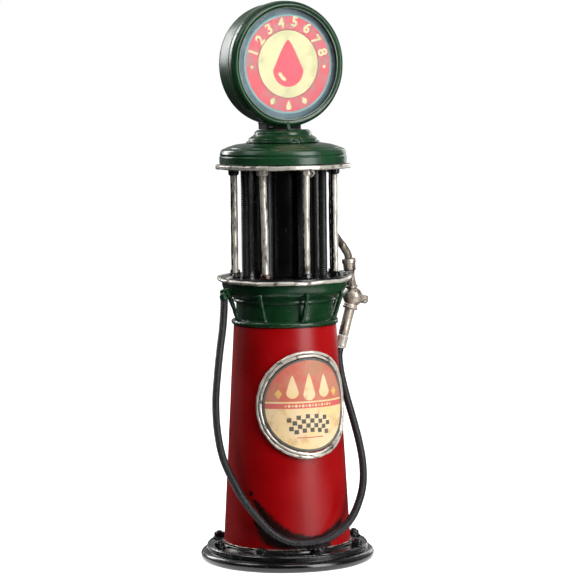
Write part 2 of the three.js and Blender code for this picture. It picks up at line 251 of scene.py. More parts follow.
def swept(path, radius, sides=20, bore=0):
    """A tube along the path. radius(share of the length, angle) is a number or a function."""
    size = radius if callable(radius) else lambda share, angle: radius
    side = (path[1] - path[0]).orthogonal().normalized()
    verts, run = [], 0.0
    total = sum((q - p).length for p, q in zip(path, path[1:]))
    for i, place in enumerate(path):
        if i:
            run += (place - path[i - 1]).length
        along = (path[min(i + 1, len(path) - 1)] - path[max(i - 1, 0)]).normalized()
        side = (side - along * side.dot(along)).normalized()
        across = along.cross(side)
        for k in range(sides):
            a = 2 * math.pi * k / sides
            verts.append(place + (side * math.cos(a) + across * math.sin(a)) * size(run / total, a))
    rows = len(path)
    faces = []
    for i in range(rows - 1):
        faces += hoop(i * sides, (i + 1) * sides, sides)
    last = (rows - 1) * sides
    faces.append(tuple(range(sides))[::-1])
    if not bore:
        faces.append(tuple(range(last, last + sides)))
        return Shape(verts, faces)
    mouth = len(verts)
    for depth in (0, 1.2 * bore):
        middle = path[-1] - along * depth
        for k in range(sides):
            edge = verts[last + k] - path[-1]
            verts.append(middle + edge.normalized() * bore)
    faces += hoop(last, mouth, sides) + hoop(mouth, mouth + sides, sides)
    faces.append(tuple(range(mouth + sides, mouth + 2 * sides)))
    return Shape(verts, faces)


def slab(outline, bottom, top):
    """A flat plate with the given outline."""
    n = len(outline)
    verts = [(x, y, bottom) for x, y in outline] + [(x, y, top) for x, y in outline]
    walls = [(i, (i + 1) % n, n + (i + 1) % n, n + i) for i in range(n)]
    return Shape(verts, [tuple(range(n))[::-1], tuple(range(n, 2 * n)), *walls])


def block(x0, x1, y0, y1, z0, z1):
    return slab([(x0, y0), (x1, y0), (x1, y1), (x0, y1)], z0, z1)


def hex_nut(corner, height, stub=0, stub_height=0, sides=48):
    """A hexagon nut with worn corners and a chamfered top, and the bolt's end standing out of it."""
    flat = corner * math.cos(math.pi / 6)
    chamfer = 0.28 * corner
    angles = [2 * math.pi * k / sides for k in range(sides)]
    spread = [flat / math.cos((a % (math.pi / 3)) - math.pi / 6) for a in angles]
    spread = [min(r, 0.955 * corner) for r in spread]
    fall = [chamfer * max(0.12, (r - flat) / (corner - flat)) for r in spread]
    levels = [
        [(r, 0) for r in spread],
        [(r, height - f) for r, f in zip(spread, fall)],
        [(0.97 * flat, height)] * sides,
        [(stub + 0.25, height)] * sides,
        [(stub, height + 0.2)] * sides,
        [(stub, height + stub_height - 0.3)] * sides,
        [(max(stub - 0.35, 0.3), height + stub_height)] * sides,
    ]
    verts = [(r * math.cos(a), r * math.sin(a), z) for row in levels for (r, z), a in zip(row, angles)]
    faces = [tuple(range(sides))[::-1]]
    for i in range(len(levels) - 1):
        faces += hoop(i * sides, (i + 1) * sides, sides)
    top = (len(levels) - 1) * sides
    faces.append(tuple(range(top, top + sides)))
    return Shape(verts, faces)


def drip(points, radii, seed=0):
    """A run of solder or thick paint along the points, a radius at each."""
    path = smooth_path(points, 0.35)
    steps = len(radii) - 1

    def size(share, _):
        i = min(int(share * steps), steps - 1)
        thick = radii[i] + (radii[i + 1] - radii[i]) * (share * steps - i)
        return thick * math.sqrt(max(0.02, 1 - (2 * share - 1) ** 8))

    return swept(path, size, 14).uneven(0.3, 1.6, seed)


# ---- objects ----


def span(node):
    """The lowest and highest corners of a CAD node's box, in millimetres."""
    lo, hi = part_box(node)
    return lo / MM, hi / MM


def radius_of(node):
    return span(node)[1].x


def make_object(name, shape, materials, sharp):
    mesh = bpy.data.meshes.new(name)
    mesh.from_pydata([v * MM for v in shape.verts], [], shape.faces)
    mesh.polygons.foreach_set("material_index", shape.kinds)
    for material in materials:
        mesh.materials.append(material)
    sides = bmesh.new()
    sides.from_mesh(mesh)
    bmesh.ops.recalc_face_normals(sides, faces=sides.faces)
    sides.to_mesh(mesh)
    sides.free()
    mesh.polygons.foreach_set("use_smooth", [True] * len(mesh.polygons))
    mesh.set_sharp_from_angle(angle=math.radians(sharp))
    return new_object(name, mesh)


def settle(obj):
    """Makes the object's modifiers part of its mesh."""
    graph = bpy.context.evaluated_depsgraph_get()
    obj.data = bpy.data.meshes.new_from_object(obj.evaluated_get(graph))
    obj.modifiers.clear()


def piece(name, shape, materials, replaces=(), body="root", sharp=35, bevel=0):
    """A finished piece that rides on a body and stands for the CAD nodes it replaces."""
    obj = make_object(name, shape, materials, sharp)
    if bevel:
        edge = obj.modifiers.new("edges", "BEVEL")
        edge.width = bevel * MM
        edge.segments = 3
        edge.limit_method = "ANGLE"
        edge.harden_normals = False
    obj.modifiers.new("shading", "WEIGHTED_NORMAL").keep_sharp = True
    return seat(obj, replaces, body)


def fused_piece(name, shape, materials, replaces=(), body="root", voxel=0.3, smooth=5):
    """As piece, its solids melted into one skin, as solder and paint join them."""
    obj = make_object(name, shape, materials, 180)
    skin = obj.modifiers.new("skin", "REMESH")
    skin.mode = "VOXEL"
    skin.voxel_size = voxel * MM
    skin.use_smooth_shade = True
    melt = obj.modifiers.new("melt", "SMOOTH")
    melt.factor = 0.5
    melt.iterations = smooth
    settle(obj)
    return seat(obj, replaces, body)


def seat(obj, replaces, body):
    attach(obj, body)
    if replaces:
        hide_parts(*replaces)
    return obj


# ---- materials ----


class Nodes:
    """Short ways to add nodes to a shader tree."""

    def __init__(self, tree):
        self.tree = tree
        self.spaces = self.add("TexCoord").outputs

    def add(self, kind):
        return self.tree.nodes.new("ShaderNode" + kind)

    def feed(self, socket, value):
        if isinstance(value, bpy.types.NodeSocket):
            self.tree.links.new(value, socket)
        elif hasattr(value, "__len__") and len(value) == 3 and len(socket.default_value) == 4:
            socket.default_value = (*value, 1)
        else:
            socket.default_value = value

    def steps(self, value, low, high, dark=0.0, light=1.0):
        """Maps low..high to dark..light and holds it outside."""
        node = self.add("MapRange")
        node.interpolation_type = "SMOOTHSTEP"
        self.feed(node.inputs["Value"], value)
        for name, number in (("From Min", low), ("From Max", high), ("To Min", dark), ("To Max", light)):
            node.inputs[name].default_value = number
        return node.outputs[0]

    def maths(self, operation, first, second):
        node = self.add("Math")
        node.operation = operation
        self.feed(node.inputs[0], first)
        self.feed(node.inputs[1], second)
        return node.outputs[0]

    def measure(self, operation, vector, other):
        """One number from two vectors."""
        node = self.add("VectorMath")
        node.operation = operation
        self.feed(node.inputs[0], vector)
        node.inputs[1].default_value = other
        return node.outputs["Value"]


class Finish(Nodes):
    """A material, its shader and its textures."""

    def __init__(self, name):
        self.material = bpy.data.materials.new(name)
        self.material.use_nodes = True
        super().__init__(self.material.node_tree)
        self.shader = self.tree.nodes["Principled BSDF"]
        self.place = self.spaces["Object"]

    def set(self, **values):
        for name, value in values.items():
            socket = self.shader.inputs[name.replace("_", " ").title().replace("Ior", "IOR")]
            self.feed(socket, value)

    def noise(self, size, detail=3, rough=0.5, stretch=(1, 1, 1), distortion=0.0):
        """Noise whose lumps are about size millimetres across."""
        place = self.add("Mapping")
        self.feed(place.inputs["Vector"], self.place)
        place.inputs["Scale"].default_value = stretch
        node = self.add("TexNoise")
        self.feed(node.inputs["Vector"], place.outputs[0])
        node.inputs["Scale"].default_value = 1 / (size * MM)
        node.inputs["Detail"].default_value = detail
        node.inputs["Roughness"].default_value = rough
        node.inputs["Distortion"].default_value = distortion
        return node.outputs[0]

    def blend(self, share, first, second):
        node = self.add("Mix")
        node.data_type = "RGBA"
        self.feed(node.inputs[0], share)
        self.feed(node.inputs[6], first)
        self.feed(node.inputs[7], second)
        return node.outputs[2]

    def bump(self, height, depth, strength=1.0, under=None):
        node = self.add("Bump")
        node.inputs["Strength"].default_value = strength
        node.inputs["Distance"].default_value = depth * MM
        self.feed(node.inputs["Height"], height)
        if under is not None:
            self.feed(node.inputs["Normal"], under)
        return node.outputs[0]


SKIRT_LO, SKIRT_HI = span("skirt")
SKIRT_TOP_RADIUS = 35
SKIRT_WALL = 1.2


def skirt_radius(z):
    share = (z - SKIRT_LO.z) / (SKIRT_HI.z - SKIRT_LO.z)
    return SKIRT_HI.x + share * (SKIRT_TOP_RADIUS - SKIRT_HI.x)


# Sooty marks and the hose's painted shadow on the skirt, as runs of places on it: degrees round from the
# front, height and reach in millimetres. They are a sooty dab, the band over the hose and the shade under it;
# the band and the shade are partly sooty marks and partly painted shadow of the hose.
SOOT_AND_HOSE_SHADOW = [
    [(-60, 50, 2)],
    [(-55, 45, 1.8), (-45, 36, 3.8), (-39, 31, 4.6), (-33, 27, 4.6), (-20, 22.5, 3), (-2, 20, 1.8),
     (9, 21, 1.8), (28, 26, 2.8), (36, 30, 1.8)],
    [(-54, 31, 2), (-42, 21, 5), (-34, 18, 4.6), (-4, 14, 2.4), (17, 15, 3.4)],
]
SOOT_AND_SHADOW_PITCH = 2.2  # millimetres between the places along a run


def soot_and_shadow_spots():
    for run in SOOT_AND_HOSE_SHADOW:
        for first, last in zip(run, run[1:] or run):
            first, last = Vector(first), Vector(last)
            way = math.hypot(math.radians(last.x - first.x) * SKIRT_HI.x, last.y - first.y)
            count = max(1, math.ceil(way / SOOT_AND_SHADOW_PITCH))
            for k in range(count):
                degrees, z, reach = first.lerp(last, k / count)
                turn, r = math.radians(degrees), skirt_radius(z)
                yield r * math.sin(turn), -r * math.cos(turn), z, reach


# How dark the sooty marks and the hose's painted shadow make each point of the skirt.
def soot_and_shadow_share(f):
    ragged = f.steps(f.noise(2.2, 6, 0.65), 0.3, 0.7, -0.16, 0.16)
    total = None
    for x, y, z, reach in soot_and_shadow_spots():
        away = f.measure("DISTANCE", f.place, (x * MM, y * MM, z * MM))
        near = f.steps(away, 0.1 * reach * MM, 1.75 * reach * MM, 1.0, 0.0)
        total = near if total is None else f.maths("MAXIMUM", total, near)
    return f.steps(f.maths("ADD", total, ragged), 0.08, 0.95, 0.0, 0.97)


def enamel(name, colour, deep, rough, gloss=0.5, peel=0.05, grime=(0.02, 0.018, 0.014), dirt=0.3,
           soot_and_shadow=False):
    """Thick brushed-on paint: uneven colour, a slight orange peel, thin patches of grime, and any sooty marks
    with the hose's painted shadow.
    """
    f = Finish(name)
    broad = f.noise(28, 3)
    fine = f.noise(1.1, 2)
    marks = f.steps(f.noise(5.5, 7, 0.62), 0.56, 0.72)
    tint = f.blend(f.steps(broad, 0.3, 0.7), deep, colour)
    # Sooty marks and the hose's painted shadow darken the colour next to the hose.
    if soot_and_shadow:
        tint = f.blend(soot_and_shadow_share(f), tint, (0.004, 0.0035, 0.003))
    f.set(
        base_color=f.blend(f.maths("MULTIPLY", marks, dirt), tint, grime),
        roughness=f.maths("ADD", f.steps(broad, 0.3, 0.75, rough - 0.05, rough + 0.06),
                          f.maths("MULTIPLY", marks, 0.16)),
        specular_ior_level=gloss,
        normal=f.bump(fine, peel, 0.5, f.bump(f.noise(7, 2), 6 * peel, 0.25)),
    )
    return f.material


# The side turned away from the lights (the viewer's left and below), in the part's own axes: painted shade
# goes there.
SHADED_SIDE = Vector((-0.87, 0.41, -0.28))


def aged_metal(name, pale, dark, shine, stain=0.5, rough=0.3, stretch=(1, 1, 0.3), side_shade=0.0):
    """Champagne-coloured plating, dull where it is stained, and darkened by painted shade on the side turned
    from the lights.
    """
    f = Finish(name)
    blotch = f.noise(4.5, 8, 0.66, stretch)
    speck = f.noise(0.9, 4, 0.6, stretch)
    stained = f.steps(blotch, 1 - stain - 0.06, 1 - stain + 0.12)
    spotted = f.steps(speck, 0.6, 0.72, 0.0, 0.55)
    share = f.maths("MAXIMUM", stained, spotted)
    # Painted shade: the plating is darkened on the side that faces away from the lights.
    if side_shade:
        facing = f.measure("DOT_PRODUCT", f.spaces["Normal"], SHADED_SIDE)
        uneven = f.maths("ADD", facing, f.steps(speck, 0.3, 0.7, -0.2, 0.2))
        share = f.maths("MAXIMUM", share, f.steps(uneven, 0.15, 0.85, 0.0, side_shade))
    warm = f.blend(f.steps(f.noise(14, 2), 0.35, 0.65), pale, [0.86 * c for c in pale])
    f.set(
        base_color=f.blend(share, warm, dark),
        metallic=shine,
        roughness=f.steps(share, 0, 1, rough, rough + 0.26),
        normal=f.bump(blotch, 0.12, 0.45, f.bump(f.noise(0.6, 2), 0.03, 0.4)),
    )
    return f.material


def ribbed_rubber():
    f = Finish("ribbed_rubber")
    dust = f.steps(f.noise(3, 6, 0.6), 0.5, 0.75)
    f.set(
        base_color=f.blend(dust, (0.014, 0.014, 0.016), (0.04, 0.04, 0.043)),
        roughness=f.steps(dust, 0, 1, 0.3, 0.5),
        specular_ior_level=0.55,
        normal=f.bump(f.noise(0.5, 2), 0.03, 0.4),
    )
    return f.material


def print_ink(name, colour, worn, stain, stain_share):
    """Ink on aged paper: soft stains and a faded, slightly grainy tone."""
    f = Finish(name)
    faded = f.steps(f.noise(14, 3), 0.4, 0.6, 0, 0.8)
    blots = f.steps(f.noise(10, 5, 0.62), 0.5, 0.68, 0, stain_share)
    grain = f.noise(0.35, 2)
    tone = f.blend(faded, colour, worn)
    f.set(
        base_color=f.blend(blots, tone, stain),
        roughness=f.steps(grain, 0.3, 0.7, 0.5, 0.65),
        specular_ior_level=0.3,
        normal=f.bump(grain, 0.015, 0.3),
    )
    return f.material


def clear_resin(name, veil, tint, rough):
    """A clear dome: see-through with a faint milky veil and a sharp surface."""
    f = Finish(name)
    cloud = f.noise(12, 2)
    f.set(
        base_color=f.blend(f.steps(cloud, 0.3, 0.7), tint, [0.93 * c for c in tint]),
        roughness=f.steps(cloud, 0.3, 0.7, rough - 0.02, rough + 0.05),
        alpha=veil,
        specular_ior_level=0.6,
    )
    return f.material


FRESH_GREEN = (0.0085, 0.056, 0.0185)
GRIMY_GREEN = (0.004, 0.014, 0.007)
GREEN = enamel("green_enamel", FRESH_GREEN, (0.0045, 0.033, 0.0105), 0.26, grime=GRIMY_GREEN)
GREEN_LUMPY = enamel("lumpy_green_enamel", FRESH_GREEN, (0.0045, 0.031, 0.0095), 0.25, peel=0.11, dirt=0.55,
                     grime=GRIMY_GREEN)
GREEN_SMOOTH = enamel("smooth_green_enamel", FRESH_GREEN, (0.0055, 0.039, 0.0125), 0.33, gloss=0.6,
                      peel=0.02, dirt=0.15, grime=GRIMY_GREEN)
# A pale green for painted highlights: the light caught along the bezel's inner lip and its back seam.
EDGE_HIGHLIGHT = enamel("painted_highlight_green_edge", (0.3, 0.38, 0.31), (0.12, 0.2, 0.14), 0.3, peel=0.02)
# The red carries sooty marks and the painted shadow of the hose.
RED = enamel("red_enamel", (0.385, 0.001, 0.003), (0.315, 0.0005, 0.0015), 0.31, gloss=0.33, peel=0.02,
             dirt=0.12, soot_and_shadow=True)
STAIN_RED = enamel("red_stained_nut", (0.06, 0.002, 0.003), (0.01, 0.004, 0.004), 0.25, dirt=0.6)
BLACK = enamel("black_enamel", (0.004, 0.004, 0.0045), (0.002, 0.002, 0.0025), 0.2, gloss=0.62, peel=0.09,
               grime=(0.022, 0.02, 0.018), dirt=0.5)
BRACKET_BLACK = enamel("bracket_enamel", [0.003] * 3, [0.0015] * 3, 0.45, gloss=0.12)
TANK_BLACK = enamel("tank_enamel", (0.003, 0.003, 0.0035), (0.0015, 0.0015, 0.002), 0.24, peel=0.015,
                    dirt=0.1)
RUBBER = ribbed_rubber()

PALE_NICKEL, NICKEL_STAIN = (0.8, 0.76, 0.67), (0.1, 0.08, 0.06)
NICKEL = aged_metal("aged_nickel", PALE_NICKEL, NICKEL_STAIN, 0.45, stain=0.47, rough=0.34)
WIRE = aged_metal("bright_wire", PALE_NICKEL, NICKEL_STAIN, 0.4, stain=0.45, rough=0.26, stretch=(1, 1, 1))
# The nozzle's metals carry painted shade on the side away from the lights, besides their stains.
PLATED = aged_metal("worn_nickel_with_painted_shade", (0.62, 0.545, 0.46), (0.06, 0.045, 0.034), 0.5, stain=0.5, rough=0.34,
                    side_shade=0.92)
BROWNED = aged_metal("browned_nickel_with_painted_shade", (0.4, 0.34, 0.28), (0.045, 0.033, 0.024), 0.5, stain=0.55, rough=0.36,
                     side_shade=0.95)

OLIVE = (0.42, 0.42, 0.16)
GREYED = (0.3, 0.34, 0.3)
UMBER = (0.42, 0.22, 0.07)
CREAM = print_ink("cream_ink", (0.93, 0.87, 0.46), (0.88, 0.8, 0.42), OLIVE, 0.42)
DIAL_RED = print_ink("dial_red_ink", (0.9, 0.075, 0.1), (0.7, 0.16, 0.17), GREYED, 0.5)
DROP_RED = print_ink("drop_red_ink", (0.93, 0.06, 0.1), (0.86, 0.07, 0.11), (0.7, 0.1, 0.1), 0.15)
LINE_RED = print_ink("line_red_ink", (0.3, 0.03, 0.03), (0.35, 0.06, 0.05), UMBER, 0.2)
CYAN = print_ink("pale_blue_ink", (0.25, 0.5, 0.47), (0.2, 0.4, 0.4), GREYED, 0.4)
STEEL_BLUE = print_ink("steel_blue_ink", (0.05, 0.12, 0.15), (0.13, 0.2, 0.24), (0.015, 0.035, 0.035), 0.8)
BADGE_RED = print_ink("badge_red_ink", (0.66, 0.1, 0.05), (0.6, 0.22, 0.12), UMBER, 0.55)
BADGE_BAND = print_ink("badge_band_ink", (0.72, 0.08, 0.07), (0.7, 0.14, 0.12), UMBER, 0.35)
BADGE_CREAM = print_ink("badge_cream_ink", (0.96, 0.7, 0.32), (0.96, 0.74, 0.45), (0.66, 0.36, 0.1), 0.6)
BADGE_YELLOW = print_ink("badge_yellow_ink", (0.85, 0.5, 0.06), (0.8, 0.5, 0.12), UMBER, 0.3)
BADGE_DARK = print_ink("badge_dark_ink", (0.02, 0.02, 0.016), (0.07, 0.055, 0.035), UMBER, 0.2)
# A dark ring round the badge's print: partly the plate's grey-green bevel, partly painted shadow in the gap
# under the wires.
BADGE_GAP_SHADOW = print_ink("badge_gap_shadow_ink", (0.05, 0.06, 0.05), (0.13, 0.15, 0.12), (0.012, 0.014, 0.012), 0.8)
GLOBE_GLASS = clear_resin("globe_glass", 0.05, (0.7, 0.85, 0.95), 0.08)
BADGE_GLASS = clear_resin("badge_glass", 0.05, (0.95, 0.9, 0.86), 0.3)


# ---- hose, which is made before the other pieces ----

# The CAD source's points: out of the fitting, down the left, low round the front and up to the nozzle.
HOSE_POINTS = [
    (-46.5, -4.5, 180), (-46.7, -4, 172), (-47.2, -2.5, 160), (-48.5, -1, 147), (-50.1, 0.2, 130),
    (-52.2, -1.1, 112), (-53.1, -5.3, 92), (-51.7, -11.1, 74), (-47.2, -18.2, 58.5), (-43, -25.2, 47.2),
    (-35.8, -32.4, 35.2), (-26.8, -38.9, 24.3), (-17.2, -43.9, 18.9), (-6.2, -47.4, 18.1), (5.6, -49.2, 19.8),
    (16.6, -48.4, 24.6), (26.6, -45.4, 31.2), (34.9, -40.3, 40.8), (41.1, -34.8, 52.4), (44.1, -28.7, 66),
    (44.6, -22.1, 80), (44.1, -14.6, 94), (43.4, -7.1, 107), (43.2, -0.1, 119), (43.1, 4.2, 129.5),
    (43.3, 5.9, 137.2), (44.34, 6, 142.01),
]
HOSE_RADIUS = 2.6
RIB_PITCH = 1.3
RIB_DEPTH = 0.2
RINGS_PER_RIB = 7


def ribs(length, radius):
    """The radius of a spiral-wound tube of that length."""
    turns = length / RIB_PITCH

    def size(share, angle):
        wave = math.cos(2 * math.pi * share * turns - angle)
        return radius + RIB_DEPTH * (0.55 * wave + 0.45 * abs(wave) ** 0.5 * math.copysign(1, wave))

    return size


def make_hose():
    path = smooth_path(HOSE_POINTS, RIB_PITCH / RINGS_PER_RIB)
    length = sum((q - p).length for p, q in zip(path, path[1:]))
    obj = make_object("ribbed_hose", swept(path, ribs(length, HOSE_RADIUS), 24), [RUBBER], 60)
    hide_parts("hose")
    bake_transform(obj)


# ---- base, skirt and badge ----


def make_base():
    lo, hi = span("base_plate")
    edge, pad, roll = hi.x, hi.z, 3.6
    deck = span("base_bolt_1")[0].z - 0.3
    rim = edge - roll
    profile = [
        (0, 0), (rim - 1, 0), *arc(rim, roll, roll, -90, 106, 18), (rim - 1.2, 2 * roll - 0.55),
        *rounded([
            (55.9, 6.7), (55.3, 6.9, 0.3), (55.1, deck - 1.2, 0.5), (54.2, deck - 0.1, 0.7),
            (53, deck - 0.25, 0.4), (46.3, deck, 0.5), (45.5, pad - 0.2, 0.5), (44, pad),
        ])[1:],
        (0, pad),
    ]
    piece("base", turned(profile, 160).uneven(0.12, 18), [BLACK], ["base_plate"])
    bead_line = ring(54.3, deck - 0.3, 0.5, sides=240, steps=10).uneven(0.35, 3.5, 3)
    piece("base_step_bead", bead_line, [BLACK])

    for i in range(AROUND):
        lo, hi = span(f"base_bolt_{i + 1}")
        mid = (lo + hi) / 2
        washer = disc(4.3, 0, 0.6, 0.25, 40)
        nut = hex_nut(3.9, 2.9, 2, 1.0).at(z=0.6).spun(CHANCE.uniform(0, 60))
        lug = (washer + nut).uneven(0.28, 2.4, i).at(mid.x, mid.y, lo.z)
        piece(f"base_bolt_nut_{i + 1}", lug, [BLACK], [f"base_bolt_{i + 1}"])


def make_skirt():
    foot, head = SKIRT_LO.z, SKIRT_HI.z
    rows = 24
    outside = [(skirt_radius(z), z) for z in (foot + (head - foot) * i / rows for i in range(rows + 1))]
    inside = [(r - SKIRT_WALL, z) for r, z in reversed(outside[::6])]
    cone = turned([*outside, *inside, outside[0]], 128).uneven(0.16, 34, 2)
    piece("red_skirt", cone, [RED], ["skirt"])
    foot_line = ring(skirt_radius(foot) + 0.2, foot + 0.1, 0.34, sides=200, steps=10).uneven(0.3, 5, 5)
    piece("skirt_foot_bead", foot_line, [PLATED])


BADGE_HEIGHT = sum(span("badge_plate")[i].z for i in (0, 1)) / 2
BADGE_RADIUS = (span("badge_plate")[1].z - span("badge_plate")[0].z) / 2
PLATE_FACE = 1.4  # how far the plate's face stands off the skirt


def on_skirt(v):
    """Bends a point, drawn in XY and rising along Z, round the front of the skirt."""
    z = BADGE_HEIGHT + v.y
    turn = v.x / skirt_radius(BADGE_HEIGHT)
    r = skirt_radius(z) + v.z
    return Vector((r * math.sin(turn), -r * math.cos(turn), z))


def sliced(shape, step):
    """Cuts a shape's long faces across X, so that they can bend."""
    work = bmesh.new()
    verts = [work.verts.new(v) for v in shape.verts]
    for face, kind in zip(shape.faces, shape.kinds):
        work.faces.new([verts[i] for i in face]).material_index = kind
    lowest, highest = min(v.x for v in shape.verts), max(v.x for v in shape.verts)
    at = math.ceil(lowest / step) * step
    while at < highest:
        everything = [*work.verts, *work.edges, *work.faces]
        bmesh.ops.bisect_plane(work, geom=everything, plane_co=(at, 0, 0), plane_no=(1, 0, 0))
        at += step
    work.verts.index_update()
    result = Shape(
        [v.co.copy() for v in work.verts], [[v.index for v in f.verts] for f in work.faces],
        [f.material_index for f in work.faces],
    )
    work.free()
    return result


def fuel_drop(width, height, steps=18):
    """A drop's outline, its round end down, about the origin."""
    round_part = arc(0, -height / 2 + width / 2, width / 2, -180, 0, steps)
    right = [(width / 2 * (1 - t) ** 0.72, -height / 2 + width / 2 + (height - width / 2) * t ** 1.15)
             for t in (k / 9 for k in range(1, 10))]
    left = [(-x, y) for x, y in reversed(right[:-1])]
    return [*round_part, *right, *left]


def diamond(size):
    return [(size, 0), (0, 1.25 * size), (-size, 0), (0, -1.25 * size)]


def moved(outline, x, y, degrees=0):
    turn = Matrix.Rotation(math.radians(degrees), 2)
    return [tuple(Vector((x, y)) + turn @ Vector(p)) for p in outline]


def cap_of_disc(radius, low, high, steps=40):
    """The part of a disc between two heights."""
    a, b = (math.degrees(math.asin(max(-1, min(1, y / radius)))) for y in (low, high))
    right = arc(0, 0, radius, a, b, steps)
    return [*right, *[(-x, y) for x, y in reversed(right) if abs(x) > 1e-6]]


def make_badge():
    face = PLATE_FACE - 0.1
    edge = turned(rounded([(0, 0.6), (BADGE_RADIUS, 0.6, 0.2), (BADGE_RADIUS, face, 0.4), (30.7, face + 0.05),
                           (0, face)]), 128)
    inks = [BADGE_GAP_SHADOW, BADGE_RED, BADGE_CREAM, BADGE_BAND, BADGE_YELLOW, BADGE_DARK]
    gap_shadow, red, cream, band, yellow, dark = range(len(inks))
    printed = 29.8
    top, base = face + 0.12, face - 0.3
    grounds = [(red, 2.4, printed), (cream, 1.3, 2.4), (band, -2.3, 1.3), (cream, -printed, -2.3)]
    # The plate's rim outside the print is painted dark, as the shadow in the gap between print and wires.
    art = edge.kind(gap_shadow)
    for kind, low, high in grounds:
        art += slab(cap_of_disc(printed, low, high), base, top).kind(kind)
    raised = []
    for x, tall in ((-11.5, 15.5), (0, 18.5), (11.5, 15.5)):
        raised.append((cream, moved(fuel_drop(8.4, tall), x, 12.2)))
    for x in (-20.8, 20.8):
        raised.append((yellow, moved(diamond(2.6), x, 7.6)))
    for k in range(-7, 8):
        raised.append((cream, moved(arc(0, 0, 0.62 if k % 2 else 0.95, 0, 330, 11), 2.3 * k, -0.5)))
    for row in range(4):
        for column in range(-5, 5):
            if (row + column) % 2:
                x, y = 3.1 * (column + 0.5), -7.6 - 3.1 * row
                x *= 1 - 0.05 * row
                square = [(-1.45, -1.45), (1.45, -1.45), (1.45, 1.45), (-1.45, 1.45)]
                raised.append((dark, moved(square, x, y - 0.012 * x * x)))
    raised.append((band, moved([(-9, -0.35), (9, -0.35), (9, 0.35), (-9, 0.35)], 0, -21.8)))
    for kind, outline in raised:
        art += slab(outline, base, top + 0.07).kind(kind)
    bent = sliced(art, 1.1).bent(on_skirt)
    piece("badge_print", bent, inks, ["badge_plate"], sharp=30)

    lens_edge = BADGE_RADIUS - 0.3
    lo = PLATE_FACE + 0.3
    radii = [lens_edge * k / 14 for k in range(15)]
    flat = [(r, lo) for r in radii]
    dome = [(r, lo + 0.5 + 1.6 * (1 - (r / lens_edge) ** 2)) for r in reversed(radii)]
    lens = turned([*flat, *dome], 128).bent(on_skirt)
    piece("badge_dome", lens, [BADGE_GLASS], ["badge_lens"], sharp=60)

    wires = Shape([], [])
    for radius, rise, start, end, seed in ((35.1, 1.45, -104, 268, 1), (32.8, 1.6, -96, 266, 4)):
        points = []
        for k in range(49):
            share = k / 48
            a = math.radians(start + (end - start) * share)
            lift = 0.9 * max(0, share * 12 - 11) if radius > 34 else 0
            out = radius + 0.7 * max(0, 1 - share * 14)
            points.append(on_skirt(Vector((out * math.cos(a), out * math.sin(a), rise + lift))))
        wires += swept(smooth_path(points, 0.6), 1.0, 16).uneven(0.3, 5, seed)
    piece("badge_wires", wires, [WIRE], ["badge_frame"])
    blob = bead(3.4, 1.3, 0.9).at(3.5, -34.2, 2.1).bent(on_skirt).uneven(0.35, 1.8, 8)
    fused_piece("badge_solder", blob, [WIRE], voxel=0.25, smooth=3)


# ---- collar ----

# How far each strut's head and foot slipped along the ring as it was welded, in millimetres.
STRUT_SET = [
    (-2, -2.6), (-0.4, 0.6), (0.5, -0.4), (-0.6, 0.3), (0.3, -0.7), (-0.2, 0.8), (0.4, 1.6), (-1.8, -0.8),
]


def make_collar():
    lo, hi = span("collar")
    rim, top, foot = hi.x, hi.z, lo.z
    drum = radius_of("collar_ring") - 3.4
    outside = rounded([
        (drum, foot), (drum, 176.4, 0.6), (34.6, 177.3, 0.5), (35.3, 178.4, 0.6), (34.8, 179.5, 0.4),
        (36.9, 181.2, 0.8), (38.9, 182.3), (40.6, 183.8), (41.7, 185.6), (42.4, 187.6), (42.7, 189.8),
        (rim, 191.5), (rim, top),
    ])
    inside = [(rim - 1, top), (rim - 1.1, 190), (39.2, 184), (35.6, 181), (drum - 1, 176), (drum - 1, foot)]
    pan = turned([*outside, *inside, outside[0]], 160).uneven(0.28, 9, 6)
    piece("collar_pan", pan, [GREEN_LUMPY], ["collar"])

    lo, hi = span("collar_ring")
    mid, half = (lo.z + hi.z) / 2, (hi.z - lo.z) / 2
    band = ring(hi.x - half, mid, half, sides=200).uneven(0.3, 4, 2)
    seam = ring(drum + 0.9, hi.z - 0.1, 0.7, sides=220, steps=10).uneven(0.6, 2.6, 9)
    fused_piece("collar_band", band + seam, [GREEN_LUMPY], ["collar_ring"], voxel=0.4,
                smooth=3)

    lo, hi = span("collar_strut_1")
    for i, (top_slip, foot_slip) in enumerate(STRUT_SET):
        low, high = Vector((foot_slip, -35.4, lo.z + 0.4)), Vector((top_slip, -41.5, hi.z - 0.4))
        way = [low.lerp(high, k / 10) for k in range(11)]
        stem = swept(way, lambda share, _: 1.4 + 0.25 * (2 * share - 1) ** 2, 14)
        lumps = bead(2.1, 1.5, 1.4).at(*low) + bead(1.8, 1.4, 2).at(*high)
        strut = (stem + lumps).uneven(0.5, 2.2, 20 + i).spun(APART * i)
        fused_piece(f"welded_strut_{i + 1}", strut, [GREEN_LUMPY], [f"collar_strut_{i + 1}"],
                    smooth=3)


# ---- cage ----


